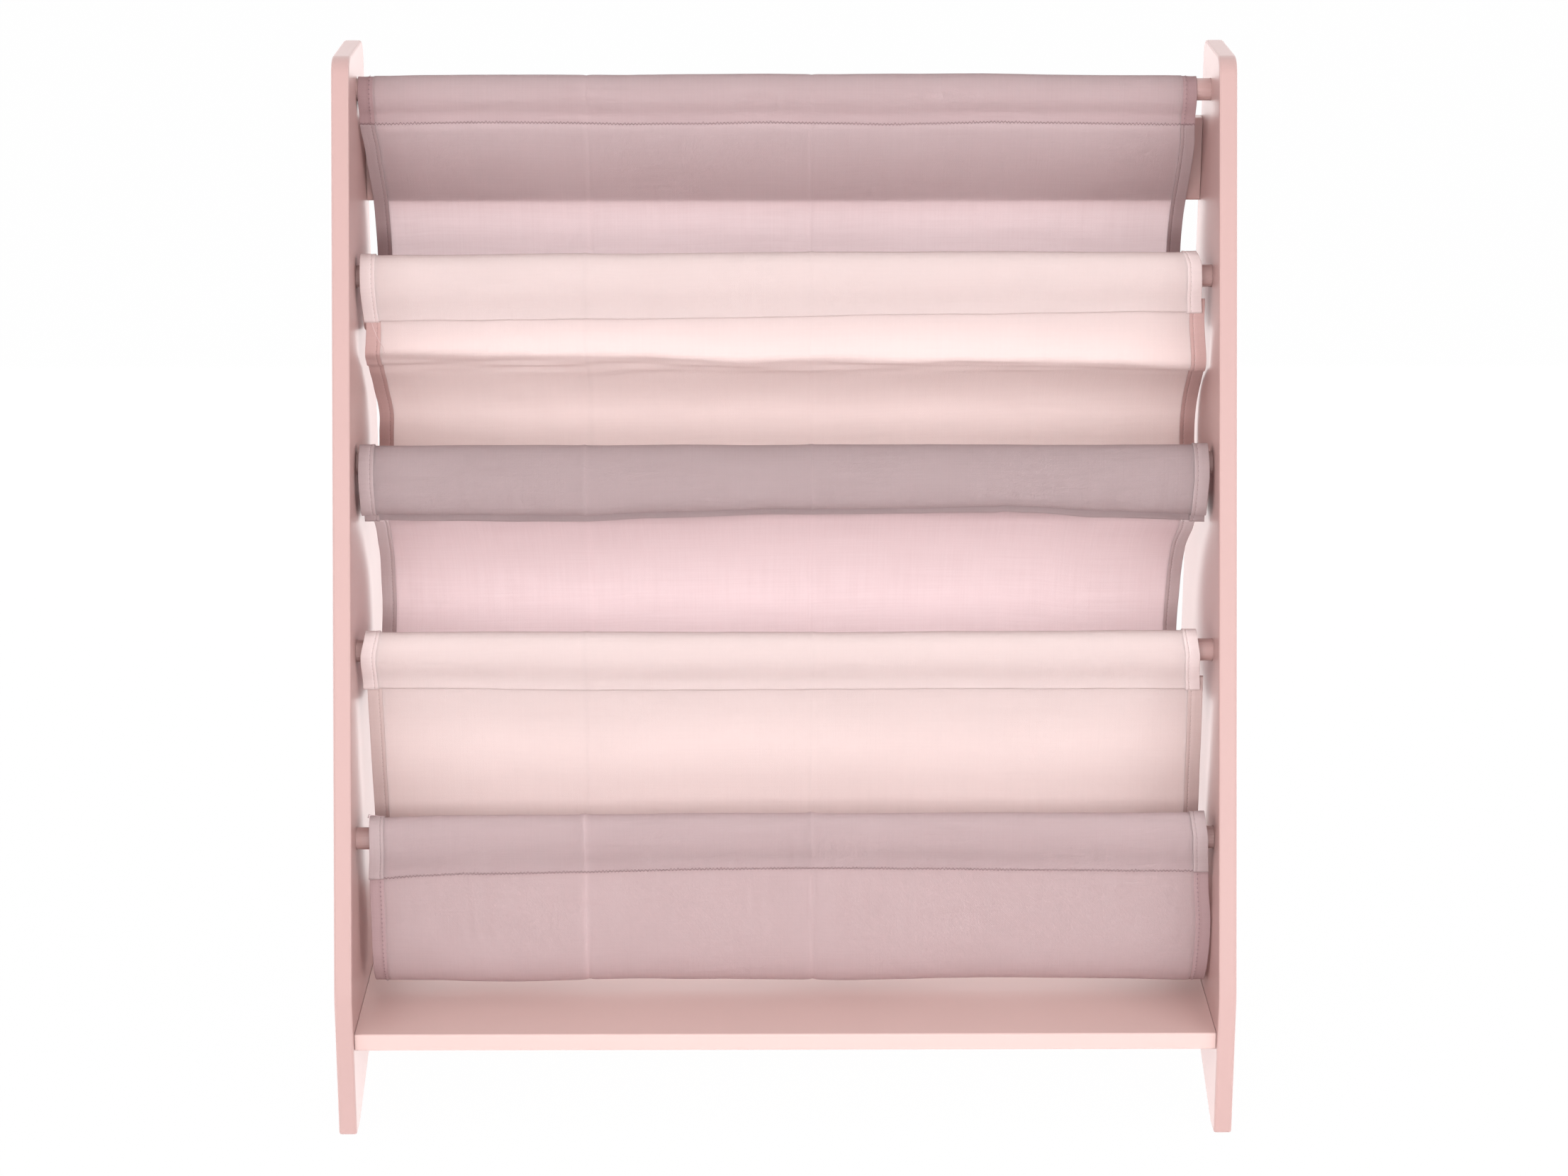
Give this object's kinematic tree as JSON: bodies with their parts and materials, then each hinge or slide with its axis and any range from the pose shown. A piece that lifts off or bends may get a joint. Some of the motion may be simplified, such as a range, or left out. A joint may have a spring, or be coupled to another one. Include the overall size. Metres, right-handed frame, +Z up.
{
  "type": "sling bookshelf",
  "caption": "Low children's bookshelf: two sloping side panels with rods between them, from which cloth pockets hang one below another above a bottom shelf.",
  "frame": {"origin": "on the floor, in the middle of the footprint", "axes": "+Z up, +Y towards the back, +X to the right of someone who faces the front"},
  "size_m": [0.6, 0.2719, 0.694],
  "materials": {
    "pink_lacquer": "satin lacquer on board",
    "mauve_canvas": "plain-woven canvas",
    "pale_canvas": "plain-woven canvas",
    "zinc_steel": "zinc plated",
    "beech_pin": "bare wood"
  },
  "bodies": {
    "root": {"side_panel_left": "pink_lacquer", "side_panel_right": "pink_lacquer", "bottom_shelf": "pink_lacquer", "back_rail": "pink_lacquer", "rod_1": "pink_lacquer", "rod_2": "pink_lacquer", "rod_3": "pink_lacquer", "rod_4": "pink_lacquer", "rod_5": "pink_lacquer", "pocket_1_back": "mauve_canvas", "pocket_2_front": "mauve_canvas", "pocket_3_back": "mauve_canvas", "pocket_4_front": "mauve_canvas", "pocket_1_front": "pale_canvas", "pocket_2_back": "pale_canvas", "pocket_3_front": "pale_canvas", "pocket_4_back": "pale_canvas", "shelf_screw_left_1": "zinc_steel", "shelf_screw_left_2": "zinc_steel", "shelf_screw_right_1": "zinc_steel", "shelf_screw_right_2": "zinc_steel", "rail_screw_left_1": "zinc_steel", "rail_screw_left_2": "zinc_steel", "rail_screw_right_1": "zinc_steel", "rail_screw_right_2": "zinc_steel", "shelf_pin_left": "beech_pin", "shelf_pin_right": "beech_pin", "rail_pin_left": "beech_pin", "rail_pin_right": "beech_pin"}
  },
  "joints": []
}
